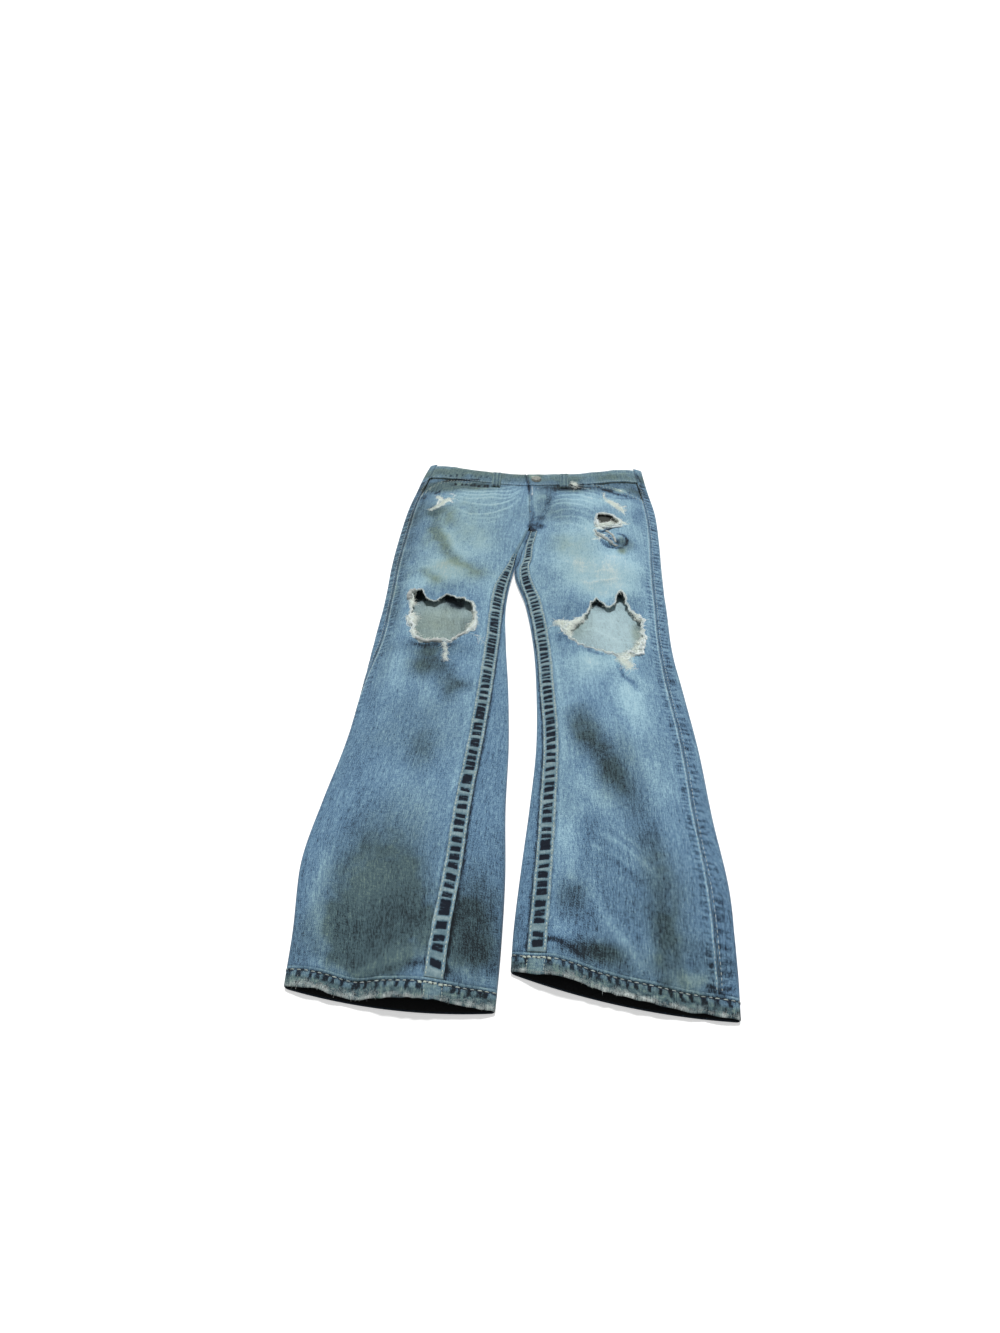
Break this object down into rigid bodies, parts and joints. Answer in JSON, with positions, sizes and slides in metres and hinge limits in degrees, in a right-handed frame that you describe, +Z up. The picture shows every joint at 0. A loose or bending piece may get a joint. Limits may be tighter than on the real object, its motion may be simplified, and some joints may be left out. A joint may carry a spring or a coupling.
{
  "type": "ripped jeans",
  "caption": "Worn straight-leg denim jeans laid out front up, with torn knees and thigh, frayed edges, patch pockets, belt loops and open hems.",
  "frame": {"origin": "middle of the outline, on the surface the jeans lie on", "axes": "+Y from the hems towards the waist, +X towards the wearer's left side, +Z up from the surface and out of the front"},
  "size_m": [0.4352, 1.0228, 0.0262],
  "materials": {
    "denim": "washed twill, bleached at the thighs and stained below",
    "felled_seam": "puckered seam with pale double stitching",
    "pocketing": "plain dark grey cotton",
    "zip": "dull teeth on a dark woven tape",
    "button": "worn, dull"
  },
  "bodies": {
    "root": {"front_right": "denim", "front_left": "denim", "back_right": "denim", "back_left": "denim", "yoke_right": "denim", "yoke_left": "denim", "hem_right": "denim", "hem_left": "denim", "waistband_front_right": "denim", "waistband_front_left": "denim", "waistband_back": "denim", "back_pocket_right": "denim", "back_pocket_left": "denim", "pocket_facing_right": "denim", "pocket_facing_left": "denim", "belt_loop_front_right": "denim", "belt_loop_front_left": "denim", "belt_loop_side_right": "denim", "belt_loop_side_left": "denim", "belt_loop_back": "denim", "inseam_right": "felled_seam", "inseam_left": "felled_seam", "pocket_bag_left": "pocketing", "zip": "zip", "button": "button"}
  },
  "joints": []
}
